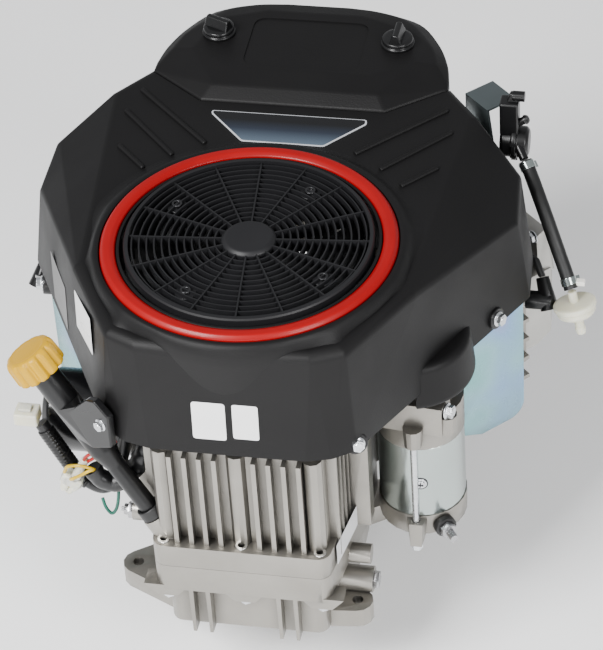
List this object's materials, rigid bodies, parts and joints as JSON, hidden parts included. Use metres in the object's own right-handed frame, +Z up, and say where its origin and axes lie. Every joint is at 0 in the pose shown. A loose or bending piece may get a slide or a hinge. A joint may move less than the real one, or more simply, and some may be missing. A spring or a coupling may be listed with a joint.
{
  "type": "vertical shaft gasoline engine",
  "caption": "Air-cooled V-twin gasoline engine with a vertical output shaft, black blower housing, red ring around the fan screen and a rear air cleaner.",
  "frame": {"origin": "on the crankshaft axis, in the plane of the undersides of the four mounting feet", "axes": "+Z up along the crankshaft towards the fan, +Y to the rear (air cleaner), +X to the right (starter motor), seen from the front"},
  "size_m": [0.5267, 0.4855, 0.4543],
  "materials": {
    "cast_aluminium": "die cast, satin, warm grey",
    "black_plastic": "moulded, fine leather-like texture",
    "red_plastic": "glossy",
    "yellow_plastic": "satin",
    "white_plastic": "milky",
    "black_paint": "semi-gloss paint on sheet steel",
    "zinc_plate": "zinc plated with a faint blue and violet tint",
    "steel": "machined or plated",
    "black_rubber": "dull",
    "green_wire": "insulation",
    "filter_paper": "pleated paper"
  },
  "bodies": {
    "engine": {"crankcase": "cast_aluminium", "oil_pressure_switch": "zinc_plate", "sump": "cast_aluminium", "drain_plug": "steel", "cylinder_right": "cast_aluminium", "head_right": "cast_aluminium", "rocker_cover_right": "cast_aluminium", "baffle_right": "zinc_plate", "spark_plug_right": "steel", "plug_boot_right": "black_rubber", "cylinder_left": "cast_aluminium", "head_left": "cast_aluminium", "rocker_cover_left": "cast_aluminium", "baffle_left": "zinc_plate", "spark_plug_left": "steel", "plug_boot_left": "black_rubber", "blower_housing": "black_plastic", "trim_ring": "red_plastic", "air_cleaner_base": "black_plastic", "air_element": "filter_paper", "carburettor": "cast_aluminium", "intake_manifold": "cast_aluminium", "starter_drive_housing": "cast_aluminium", "starter_yoke": "zinc_plate", "starter_end_cap": "cast_aluminium", "starter_terminal": "zinc_plate", "terminal_grommet": "black_rubber", "starter_through_bolt": "steel", "oil_filter": "black_paint", "dipstick_tube": "black_plastic", "tube_collar": "black_rubber", "fuel_pump": "black_plastic", "pump_bracket": "zinc_plate", "fuel_hose": "black_rubber", "fuel_filter": "white_plastic", "ignition_coil_right": "black_plastic", "plug_lead_right": "black_rubber", "ignition_coil_left": "black_plastic", "plug_lead_left": "black_rubber", "wiring_loom": "black_rubber", "connector_main": "white_plastic", "ground_wire": "green_wire", "connector_charge": "white_plastic"},
    "rotor": {"crankshaft": "steel", "flywheel": "cast_aluminium", "ring_gear": "steel", "cooling_fan": "black_plastic", "fan_screen": "black_plastic"},
    "camshaft": {"camshaft": "steel"},
    "piston_right": {"piston_right": "cast_aluminium"},
    "piston_left": {"piston_left": "cast_aluminium"},
    "armature": {"starter_armature": "steel"},
    "pinion": {"starter_pinion": "steel"},
    "air_cover": {"air_cleaner_cover": "black_plastic"},
    "knob_left": {"cover_knob_left": "black_plastic"},
    "knob_right": {"cover_knob_right": "black_plastic"},
    "dipstick": {"oil_cap": "yellow_plastic", "dipstick": "steel"},
    "throttle": {"throttle_lever": "zinc_plate"},
    "choke": {"choke_lever": "zinc_plate"}
  },
  "joints": [
    {"name": "crank_spin", "type": "hinge", "parent": "engine", "child": "rotor", "pos_m": [0, 0, 0], "axis": [0, 0, 1], "continuous": true},
    {"name": "cam_spin", "type": "hinge", "parent": "engine", "child": "camshaft", "pos_m": [0, 0.06, 0], "axis": [0, 0, 1], "continuous": true},
    {"name": "piston_right_stroke", "type": "slide", "parent": "engine", "child": "piston_right", "axis": [0.7071, 0.7071, 0], "range_m": [-0.076, 0]},
    {"name": "piston_left_stroke", "type": "slide", "parent": "engine", "child": "piston_left", "axis": [-0.7071, 0.7071, 0], "range_m": [-0.0318, 0.0442]},
    {"name": "starter_spin", "type": "hinge", "parent": "engine", "child": "armature", "pos_m": [0.1388, 0.01, 0], "axis": [0, 0, 1], "continuous": true},
    {"name": "pinion_throw", "type": "slide", "parent": "armature", "child": "pinion", "axis": [0, 0, 1], "range_m": [0, 0.0155], "stiffness_N_per_m": 60},
    {"name": "cover_lift", "type": "slide", "parent": "engine", "child": "air_cover", "axis": [0, 0, 1], "range_m": [0, 0.12]},
    {"name": "knob_left_turn", "type": "hinge", "parent": "air_cover", "child": "knob_left", "pos_m": [-0.0823, 0.2858, 0.3573], "axis": [0, 0, 1], "range_deg": [0, 90]},
    {"name": "knob_right_turn", "type": "hinge", "parent": "air_cover", "child": "knob_right", "pos_m": [0.0823, 0.2858, 0.3573], "axis": [0, 0, 1], "range_deg": [0, 90]},
    {"name": "dipstick_pull", "type": "slide", "parent": "engine", "child": "dipstick", "axis": [-0.52, 0.0872, 0.8497], "range_m": [0, 0.225]},
    {"name": "throttle_turn", "type": "hinge", "parent": "engine", "child": "throttle", "pos_m": [0.028, 0.206, 0.247], "axis": [-1, 0, 0], "range_deg": [0, 75]},
    {"name": "choke_turn", "type": "hinge", "parent": "engine", "child": "choke", "pos_m": [0.028, 0.22, 0.272], "axis": [-1, 0, 0], "range_deg": [0, 80]}
  ],
  "couplings": [
    {"joint": "cam_spin", "follows": "crank_spin", "ratio": -0.5}
  ]
}
